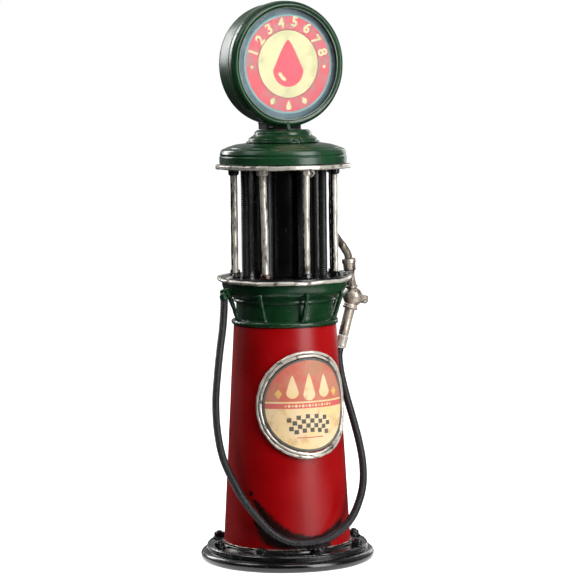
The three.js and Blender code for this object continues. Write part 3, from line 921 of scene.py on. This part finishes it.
def make_platform():
    lo, hi = span("platform")
    plate = disc(hi.x, lo.z, hi.z, 0.35, 160).uneven(0.2, 11, 1)
    piece("cage_floor", plate, [BLACK], ["platform"])
    lo, hi = span("platform_rim")
    wire = (hi.z - lo.z) / 2
    radius = hi.x - wire
    seam = math.degrees(math.atan2(TOWARDS_VIEWER.y, TOWARDS_VIEWER.x)) + 8.5
    points = [
        Vector((radius * math.cos(a), radius * math.sin(a), (lo.z + hi.z) / 2))
        for a in (math.radians(seam + 0.25 + 359.5 * k / 90) for k in range(91))
    ]
    for place in points:
        place.z -= 1.3 * max(0, place.dot(TOWARDS_VIEWER) / radius)
    bent_wire = swept(smooth_path(points, 0.9), 1.06 * wire, 18).uneven(0.5, 9, 3)
    piece("floor_rim_wire", bent_wire, [WIRE], ["platform_rim"])

    foot = span("platform")[1].z + 0.2
    left_run = drip(
        [(-37.5, -1.5, foot + 3), (-39.6, -3.2, foot + 1), (-42, -5, foot + 0.3), (-44.6, -6.6, foot - 0.4),
         (-45.3, -7.2, foot - 2)],
        [1, 0.9, 0.75, 0.8, 0.5], 2)
    fused_piece("floor_solder", left_run, [WIRE], voxel=0.25, smooth=2)


ROD_RADIUS = 2.32
ROD_KINDS = [NICKEL, BLACK, STAIN_RED]
# For each rod: how far its head and foot stand off their places along the ring, in millimetres; which of
# those kinds its upper and lower nuts are; and where the black on its left side ends at its head and foot,
# as a share of its radius (1 is no black at all).
ROD_SET = [
    (0.2, -0.1, 0, 1, 1.0, 0.45), (-0.3, 0.2, 1, 1, 0.42, 0.36), (0.4, -0.3, 0, 1, 0.6, 0.6),
    (-0.2, 0.4, 1, 1, 0.6, 0.5), (0.5, 0.1, 0, 1, 0.6, 0.6), (-1.2, -1.2, 1, 1, -0.2, 0.1),
    (0.1, 0.3, 1, 1, 0.6, 0.55), (-0.9, 0.8, 0, 2, 1.0, 0.92),
]


def make_cage():
    lo, hi = span("cage_rod_1")
    foot, head = lo.z, hi.z
    circle = -(lo.y + hi.y) / 2
    for i, (head_slip, foot_slip, upper, lower, bare_head, bare_foot) in enumerate(ROD_SET):
        low, high = Vector((foot_slip, -circle, foot + 0.4)), Vector((head_slip, -circle, head - 0.4))
        bow = Vector((CHANCE.uniform(-0.25, 0.25), CHANCE.uniform(-0.25, 0.25), 0))
        way = smooth_path([low, low.lerp(high, 0.5) + bow, high], 1.5)
        rod = swept(way, lambda share, _: ROD_RADIUS + 0.12 * (2 * share - 1) ** 4, 36).uneven(0.2, 9, 30 + i)
        left = Matrix.Rotation(math.radians(-APART * i), 3, "Z") @ TOWARDS_LEFT
        for k, face in enumerate(rod.faces):
            middle = sum((rod.verts[n] for n in face), Vector()) / len(face)
            share = (middle.z - foot) / (head - foot)
            ragged = 0.22 * noise.noise(middle / 3 + Vector((i * 9, 0, 0)))
            edge = bare_foot + (bare_head - bare_foot) * share + ragged
            rod.kinds[k] = int((middle - low.lerp(high, share)).dot(left) / ROD_RADIUS > edge)
        washer = disc(4.2, 0, 0.7, 0.25, 40)
        nut = hex_nut(3.75, 2.2, 2.5, 0.5).spun(CHANCE.uniform(0, 60))
        low_nut = (washer + nut.at(z=0.7)).kind(lower).uneven(0.3, 2.2, 50 + i)
        nut = hex_nut(4, 3.2, 2.6, 0.6).spun(CHANCE.uniform(0, 60))
        tall_nut = disc(4.3, 0, 0.9, 0.3, 40) + nut.at(z=0.9)
        high_nut = tall_nut.by(Matrix.Diagonal((1, -1, -1, 1))).kind(upper).uneven(0.4, 2, 70 + i)
        name = f"cage_rod_{i + 1}"
        whole = rod + low_nut.at(foot_slip, -circle, foot) + high_nut.at(head_slip, -circle, head)
        piece(f"rod_with_nuts_{i + 1}", whole.spun(APART * i), ROD_KINDS, [name])

        plo, phi = span(f"ribbed_post_{i + 1}")
        mid = (plo + phi) / 2
        steps = round((phi.z - plo.z) / (RIB_PITCH / 6))
        rise = [Vector((mid.x, mid.y, plo.z + (phi.z - plo.z) * k / steps)) for k in range(steps + 1)]
        post = swept(rise, ribs(phi.z - plo.z, (phi.x - plo.x) / 2), 20)
        piece(f"cage_post_{i + 1}", post, [RUBBER], [f"ribbed_post_{i + 1}"], sharp=60)

    lo, hi = span("tank")
    wall = 1
    skin = rounded([(hi.x - wall, lo.z), (hi.x, lo.z, 0.3), (hi.x, hi.z, 0.3), (hi.x - wall, hi.z)])
    tank = turned([*skin, skin[0]], 128).uneven(0.25, 26, 4)
    piece("black_tank", tank, [TANK_BLACK], ["tank"])


def make_cage_top():
    lo, hi = span("top_plate")
    piece("cage_ceiling", disc(hi.x, lo.z, hi.z, 0.3, 160), [BLACK], ["top_plate"])
    lo, hi = span("top_rim")
    mid, tall = (lo.z + hi.z) / 2 + 0.25, 0.82 * (hi.z - lo.z) / 2
    wide = 1.5
    centre = hi.x - wide
    upper = arc(centre, mid + 0.45 * tall, wide, -20, 200, 12, 0.55 * tall)
    lower = arc(centre, mid - 0.45 * tall, wide, 160, 380, 12, 0.55 * tall)
    band = turned([*upper, *lower[1:-1], upper[0]], 200).uneven(0.35, 10, 8)
    piece("ceiling_rim_band", band, [WIRE], ["top_rim"])
    under = lo.z
    corner = drip(
        [(2.6, -41, under + 0.6), (4.6, -39.6, under - 1.4), (4.2, -38.2, under - 3.4),
         (2.4, -37, under - 4.4)],
        [0.9, 0.8, 0.6, 0.4], 4)
    fused_piece("ceiling_solder", corner, [WIRE], voxel=0.25, smooth=2)


# ---- cap, neck and saddle ----


def make_cap():
    lo, hi = span("cap")
    rim, foot, crown = hi.x, lo.z, hi.z
    outside = rounded([
        (rim - 1.2, foot), (rim, foot, 0.35), (rim, 275.4, 0.4), (rim - 0.55, 275.9, 0.3),
        (rim - 0.3, 277.4, 1.6), (41.9, 280.2, 2.2), (39.6, 281.1, 0.5), (38.8, 281, 0.3),
        (38.3, 281.7, 0.4), (32.5, 283.5, 8),
        (25.8, crown - 0.1), (0, crown),
    ], 6)
    inside = [(0, crown - 1.2), (25.8, crown - 1.3), (37.5, 280), (40.6, 278.3), (rim - 1.2, 276)]
    dome = turned([*outside, *inside, outside[0]], 160).uneven(0.22, 13, 5)
    piece("green_cap", dome, [GREEN], ["cap"])


def make_neck():
    lo, hi = span("neck")
    foot, top, flange = lo.z, hi.z, hi.x
    outside = rounded([
        (flange - 1.3, foot), (flange, foot, 0.25), (flange, foot + 0.8, 0.3), (23.4, foot + 1.1, 0.2),
        (23.2, foot + 2.7, 1), (21.2, foot + 4, 0.8), (20.2, foot + 4.4, 0.3), (19.4, foot + 5.4, 0.6),
        (19.1, foot + 7, 1), (17.3, top, 1), (0, top),
    ], 5)
    inside = [(0, top - 1.3), (15.8, top - 1.3), (19.8, foot + 2), (flange - 1.3, foot)]
    stepped = turned([*outside, *inside], 128).uneven(0.3, 6, 3)
    piece("stepped_neck", stepped, [GREEN], ["neck"])

    def place(right, forward, z):
        return tuple(TOWARDS_VIEWER * forward - TOWARDS_LEFT * right + Z_AXIS * z)

    front = drip(
        [place(3.6, 14.2, top + 5.6), place(3.8, 15.2, top + 3.4), place(3.8, 16, top + 1.2),
         place(4, 17.2, top - 0.6)],
        [0.8, 1.3, 1.5, 1.2], 6)
    splash = Shape([], [])
    for right, forward, z, size in ((9, 22, 286, 1.5), (11.5, 20.6, 287.4, 1.1), (14, 19.4, 286.2, 1.2),
                                    (12.6, 21.4, 285.4, 1.3), (7.4, 23, 286.8, 0.9)):
        splash += bead(size, size, 0.8 * size).at(*place(right, forward, z)).uneven(0.5, 1.3, right)
    fused_piece("neck_solder", front + splash, [GREEN], voxel=0.25, smooth=3)


GLOBE_TURN = 4  # degrees
GLOBE_HEIGHT = sum(span("globe_bezel")[i].z for i in (0, 1)) / 2
GLOBE_PLACE = Matrix.Translation((0, 2, GLOBE_HEIGHT)) @ Matrix.Rotation(math.radians(GLOBE_TURN), 4, "Z")
FACING = GLOBE_PLACE @ Matrix.Rotation(math.radians(-90), 4, "X")  # a turned shape's heights run backwards


def make_saddle():
    foot = span("saddle")[0].z - GLOBE_HEIGHT
    front, back, rest = -3.6, 8.4, 40.9
    strap_arc = [*arc(0, 0, rest + 1.2, -109, -71, 20), *reversed(arc(0, 0, rest, -109, -71, 20))]
    parts = slab(strap_arc, front, back)
    parts = parts.by(Matrix.Rotation(math.radians(90), 4, "X") @ Matrix.Diagonal((1, 1, -1, 1)))
    top = foot + 3.4
    for left, right, inset, height in (
        (-13.2, -11.6, 0, top + 1.4), (11.7, 13.2, 0, top + 1.4), (-7.4, 12.4, 0.2, top - 0.4),
        (-13.2, 13.2, 0, foot + 0.8),
    ):
        parts += block(left, right, front + inset, back - inset, foot, height)
    bracket = parts.uneven(0.3, 4, 3).by(GLOBE_PLACE)
    fused_piece("globe_saddle", bracket, [BRACKET_BLACK], ["saddle"], voxel=0.3, smooth=2)


# ---- sign globe ----


def make_globe():
    drum, front, back = 40.6, -7, 13.3
    outside = rounded([
        (drum - 1, front), (drum, front, 0.2), (drum, back - 2.2, 0.3), (drum + 0.25, back - 1.5, 0.6),
        (drum - 0.6, back, 0.7), (drum - 2, back - 0.5, 0.4), (20, back - 0.2), (0, back - 0.2),
    ])
    inside = [(0, back - 1), (drum - 1.6, back - 1.4), (drum - 1, back - 2)]
    shell = turned([*outside, *inside, outside[0]], 160).uneven(0.22, 16, 2)
    piece("globe_shell", shell.by(FACING), [GREEN_SMOOTH], ["globe_drum"])

    edge = (span("globe_bezel")[1].z - span("globe_bezel")[0].z) / 2
    profile = rounded([
        (drum + 0.3, -4.6), (drum + 0.3, -8), (39.4, -10), (37.4, -10), (37.3, -11.4, 0.4),
        (38.1, -12.5, 0.7),
        (39.9, -13.15, 1.8), (41.6, -11.9, 1.8), (edge - 0.05, -9, 1.6), (edge, -5.8, 0.5),
        (edge - 0.5, -4.6, 0.4),
    ], 6)
    bezel = turned([*profile, profile[0]], 192).uneven(0.16, 14, 7)
    piece("globe_front_ring", bezel.by(FACING), [GREEN], ["globe_bezel"])
    # Pale lines painted on the lip and the seam, as highlights where they catch the light.
    lip = ring(37.55, -11.55, 0.42, sides=200, steps=10).uneven(0.12, 5, 1)
    seam = ring(edge - 0.15, -4.75, 0.3, sides=200, steps=8).uneven(0.12, 5, 4)
    piece("globe_edge_highlights", (lip + seam).by(FACING), [EDGE_HIGHLIGHT])


DIAL_FACE = -6.6
PRINT_SLIP = 2.2  # the print was stuck on a little to the right


def numeral(text, size, depth):
    """A bold figure about the origin, standing up along Z."""
    data = bpy.data.curves.new("figure", "FONT")
    data.body = text
    data.size = size
    data.offset = 0.03 * size
    data.extrude = depth / 2
    data.align_x = "CENTER"
    data.align_y = "CENTER"
    data.resolution_u = 6
    obj = new_object("figure", data)
    bpy.context.view_layer.update()
    mesh = bpy.data.meshes.new_from_object(obj)
    shape = Shape([v.co.copy() for v in mesh.vertices], [tuple(p.vertices) for p in mesh.polygons])
    bpy.data.objects.remove(obj)
    bpy.data.meshes.remove(mesh)
    bpy.data.curves.remove(data)
    middle = sum((v.y for v in shape.verts), 0.0) / len(shape.verts)
    return shape.at(y=-middle)


def flat_ring(inner, outer, bottom, top, sides=160):
    """A flat ring, or a disc where the inner radius is 0."""
    profile = [(inner, bottom), (outer, bottom), (outer, top), (inner, top)]
    return turned([*profile, profile[0]] if inner else profile, sides)


def make_dial():
    inks = [STEEL_BLUE, CREAM, LINE_RED, DIAL_RED, CYAN, DROP_RED]
    steel, cream, line, band, cyan, drop = range(len(inks))
    face = Shape([], [])
    zones = [(cream, 0, 22.7), (line, 22.7, 23.3), (band, 23.3, 32.1), (cyan, 32.1, 33.5)]
    for kind, inner, outer in zones:
        face += flat_ring(inner, outer, 0, 0.8).kind(kind)
    middle, first, apart = 27.7, 73.5, 21  # the figures' circle, and their places round it in degrees
    for k in range(8):
        figure = numeral(str(k + 1), 9.6, 0.2).at(y=middle).spun(first - apart * k).at(z=0.85)
        face += figure.kind(cream)
    marks = [(diamond(2.3), -26), (fuel_drop(4.2, 6.6), 0), (diamond(2.3), 26)]
    for outline, angle in marks:
        upright = moved(outline, 0, -middle)
        face += slab(upright, 0.7, 0.95).spun(angle).kind(cream)
    for angle in (-94, 94):
        face += slab(moved(arc(0, 0, 1.1, 0, 345, 23), 0, middle), 0.7, 0.95).spun(angle).kind(cream)
    face += slab(moved(fuel_drop(23, 32, 36), 0, 0.6), 0.7, 0.95).kind(drop)
    glint = [*arc(0, 0, 8.2, 196, 252, 12), *reversed(arc(0.9, 0.9, 7, 200, 248, 12))]
    face += slab(moved(glint, 0, -3.9), 0.7, 1.05).kind(cream)
    upright = Matrix.Rotation(math.radians(90), 4, "X")
    face = flat_ring(0, 39.2, 0, 0.7).kind(steel) + face.at(x=PRINT_SLIP)
    placed = face.by(GLOBE_PLACE @ Matrix.Translation((0, DIAL_FACE + 0.8, 0)) @ upright)
    piece("globe_print", placed, inks, ["globe_dial"], sharp=30)

    back, edge = -8.3, 38.9
    dome = [(edge * k / 14, -9.6 - 1.5 * (1 - (k / 14) ** 2)) for k in range(15)]
    lens = turned([*dome, (edge, back), *[(edge * k / 6, back) for k in range(5, -1, -1)]], 160)
    piece("globe_window", lens.by(FACING), [GLOBE_GLASS], ["globe_lens"], sharp=50)


# ---- nozzle ----

BALL = Vector((54.4, 6, 177.1))
BALL_RADIUS = 6.9
UPPER = Matrix.Translation(BALL) @ Matrix.Rotation(math.radians(-6.8), 4, "Y")
LOWER = Matrix.Translation(BALL) @ Matrix.Rotation(math.radians(16), 4, "Y")
SPOUT_POINTS = [
    (51.2, 203.9), (50.8, 206.2), (49.3, 209), (47.3, 211.9), (44.9, 215), (42.6, 218), (40.3, 221.1),
]


def make_nozzle():
    neck = turned(rounded([
        (0, 6), (4.1, 6, 0.4), (4.2, 7.6, 0.5), (3.4, 8.2, 0.3), (3.1, 11), (2.9, 16, 1), (3, 17.5, 0.3),
        (4.25, 18.6, 0.5), (4.3, 23.2, 0.4), (4.75, 23.6, 0.3), (4.8, 26.2, 0.4), (4.5, 26.4, 0.3), (0, 26.4),
    ]), 48).uneven(0.28, 3.4, 2)
    piece("nozzle_sleeve", neck.by(UPPER), [PLATED], ["nozzle_neck"], body="nozzle")

    ball = turned([(0, -BALL_RADIUS), *arc(0, 0, BALL_RADIUS, -86, 86, 26), (0, BALL_RADIUS)], 56).at(z=-0.3)
    boss = turned(rounded([(0, 3), (3.9, 3), (3.7, 6.4, 0.5), (3.1, 7, 0.3), (0, 7)]), 40).spun(90, "Y")
    collar = turned(rounded([
        (0, -8.9), (4.9, -8.9, 0.3), (5.45, -8.2, 0.35), (5.4, -7.5, 0.3), (4.6, -7.2, 0.2), (4.9, -6.6, 0.3),
        (4.4, -5.6, 0.4), (0, -5.6),
    ]), 48)
    valve = (ball + boss + collar).uneven(0.25, 4, 5)
    fused_piece("valve_ball", valve.by(LOWER), [PLATED], ["valve_body"], "nozzle", 0.2, 2)

    grip = turned(rounded([
        (0, -27.8), (3.5, -27.8, 0.3), (3.6, -24, 4), (3.4, -16, 4), (3.55, -9.1, 0.3), (0, -9.1),
    ]), 48).uneven(0.3, 5, 8)
    piece("handle_tube", grip.by(LOWER), [PLATED], ["nozzle_handle"], body="nozzle")
    ferrule = turned(rounded([
        (0, -36.2), (3.5, -36.2, 0.3), (3.9, -35.3, 0.4), (3.75, -32, 2), (3.95, -28.7, 0.4),
        (3.6, -28.1, 0.3), (0, -28.1),
    ]), 48).uneven(0.2, 4, 9)
    piece("hose_collar", ferrule.by(LOWER), [NICKEL], ["hose_ferrule"], body="nozzle")

    path = smooth_path([(x, BALL.y, z) for x, z in SPOUT_POINTS], 0.6)
    spout = swept(path, lambda share, _: 2.65 - 0.1 * share, 28, bore=1.7).uneven(0.2, 4, 3)
    piece("spout_tube", spout, [BROWNED], ["nozzle_spout"], body="nozzle")


def make_knob():
    stub = turned(rounded([(0, 7.3), (2.5, 7.3, 0.2), (2.95, 7.9, 0.3), (2.95, 10.7, 0.5), (2.3, 11.2, 0.3),
                           (0, 11.2)]), 40)

    def flatten(v):
        if v.z < 8.5:
            return v
        return Vector((v.x, max(-2.2, min(2.2, v.y)), v.z))

    key = stub.bent(flatten).uneven(0.2, 2.4, 6).spun(90, "Y").by(LOWER)
    piece("valve_key", key, [PLATED], ["valve_knob"], body="knob")


def make_holder():
    lo, hi = span("nozzle_holder")
    mid = (lo.y + hi.y) / 2
    half, slot, end = (hi.y - lo.y) / 2, 3.35, 48.6
    tip, prong = hi.x - 1.05, 1.1
    outline = [
        (lo.x, mid - half), (hi.x - 1.6, mid - half), *arc(tip, mid - half + prong, prong, -80, 90, 6),
        *reversed(arc(end + slot, mid, slot, 90, 270, 16)), *arc(tip, mid + half - prong, prong, -90, 80, 6),
        (hi.x - 1.6, mid + half), (lo.x, mid + half),
    ]
    fork = slab(outline, lo.z, hi.z)
    piece("rest_fork", fork, [BLACK], ["nozzle_holder"], bevel=0.35)


def make_fitting():
    lo, hi = span("hose_fitting")
    x, y = lo.x + 3.2, (lo.y + hi.y) / 2
    elbow = turned(rounded([
        (0, lo.z), (3, lo.z, 0.3), (3.1, lo.z + 2, 0.4), (2.5, lo.z + 4, 1), (2.7, hi.z - 1, 0.8), (0, hi.z),
    ]), 32).at(x, y)
    arm = block(x, hi.x - 0.3, y - 1.6, y + 1.6, hi.z - 2.6, hi.z)
    solder = bead(2.1, 2.6, 1.7).at(x + 1, y - 1.2, hi.z - 1.6)
    solder += bead(1.6, 2.2, 1.8).at(x + 1.6, y - 2.6, hi.z - 3.8)
    tail = bead(1.3, 1.4, 2.6).at(x - 1.2, y - 1.8, lo.z + 2.6)
    joint = (elbow + arm + solder + tail).uneven(0.8, 1.9, 4)
    fused_piece("hose_socket", joint, [GREEN_LUMPY], ["hose_fitting"], voxel=0.25, smooth=2)


# ---- floor and light ----

FLOOR_NEAR, FLOOR_FAR = 90, 7000

def make_floor():
    """The floor near the pump shows in its glossy parts; the floor further off is only there to be seen."""
    f = Finish("pale_floor")
    f.set(base_color=(0.93, 0.93, 0.93), roughness=f.steps(f.noise(300, 2), 0.3, 0.7, 0.7, 0.8))
    f.shader.inputs["Emission Color"].default_value = (1, 1, 1, 1)
    f.shader.inputs["Emission Strength"].default_value = FLOOR_LIGHT
    for name, inner, outer in (("near_floor", 0, FLOOR_NEAR), ("far_floor", FLOOR_NEAR, FLOOR_FAR)):
        rings = [(outer, 0), (inner, 0)]
        floor = make_object(name, turned(rings, 96), [f.material], 180)
        floor.visible_diffuse = False
        floor.visible_glossy = not inner


# Each panel: azimuth in degrees as the camera's, distance, low and high edge, width, radiance and the
# height it is aimed at.
LIGHTS = [
    ("key", 22, 1.4, 0.02, 1.4, 0.75, 7.6, 0.2),
    ("left_rim", -156, 1.3, 0.36, 1.1, 0.4, 10.0, 0.34),
    ("right_rim", 130, 1.3, 0.05, 0.9, 0.4, 2.0, 0.2),
    ("left_fill", -95, 1.1, 0.95, 1.7, 0.7, 4.2, 0.2),
    ("overhead", -10, 0.9, 1.2, 1.8, 0.8, 3.0, 0.3),
]
FLOOR_LIGHT = 1.05
BOUNCE_RADIANCE = 1.6
BACK_GLOW = 0.35
FRONT_GLOW = 0.04
FLOOR_GLOW = 0.15


def panel(name, width, height, radiance):
    """A lamp that gives the same light all over and doesn't show."""
    data = bpy.data.lights.new(name, "AREA")
    data.shape = "RECTANGLE"
    data.size, data.size_y = width, height
    data.energy = radiance * math.pi * width * height
    lamp = new_object(name, data)
    lamp.visible_camera = False
    return lamp


def soft_light(name, azimuth, distance, low, high, width, radiance, aim=0.2):
    """An upright or leaning panel, its azimuth as the camera's."""
    away = Matrix.Rotation(math.radians(azimuth), 3, "Z") @ -Y_AXIS
    lamp = panel(name, width, high - low, radiance)
    lamp.location = away * distance + Z_AXIS * ((low + high) / 2)
    lamp.rotation_euler = (lamp.location - Z_AXIS * aim).to_track_quat("Z", "Y").to_euler()


def floor_bounce():
    """The patch of floor that the key light falls on, which shows under the collar's flare."""
    azimuth, distance, side, lift = math.radians(24), 0.33, 0.34, 0.002
    lamp = panel("floor_bounce", side, side, BOUNCE_RADIANCE)
    lamp.location = Matrix.Rotation(azimuth, 3, "Z") @ -Y_AXIS * distance + Z_AXIS * lift
    lamp.rotation_euler = (math.pi, 0, azimuth)


def make_light():
    """A white studio. Its front is dark in reflections, as behind the photographer, and its back is pale."""
    world = bpy.data.worlds.new("studio")
    world.use_nodes = True
    n = Nodes(world.node_tree)
    way = n.spaces["Generated"]
    around = n.steps(n.measure("DOT_PRODUCT", way, TOWARDS_VIEWER), -0.5, 0.3, BACK_GLOW, FRONT_GLOW)
    above = n.steps(n.measure("DOT_PRODUCT", way, Z_AXIS), -0.1, 0.1, FLOOR_GLOW, 1.0)
    seen = n.add("LightPath").outputs["Is Camera Ray"]
    background = n.tree.nodes["Background"]
    n.feed(background.inputs["Strength"], n.maths("MAXIMUM", n.maths("MULTIPLY", around, above), seen))
    background.inputs["Color"].default_value = (1, 1, 1, 1)
    bpy.context.scene.world = world

    for name, *numbers in LIGHTS:
        soft_light(name, *numbers)
    floor_bounce()
    bpy.context.scene.view_settings.view_transform = "Standard"


make_camera()
make_hose()
make_base()
make_skirt()
make_badge()
make_collar()
make_platform()
make_cage()
make_cage_top()
make_cap()
make_neck()
make_saddle()
make_globe()
make_dial()
make_nozzle()
make_knob()
make_holder()
make_fitting()
make_floor()
make_light()
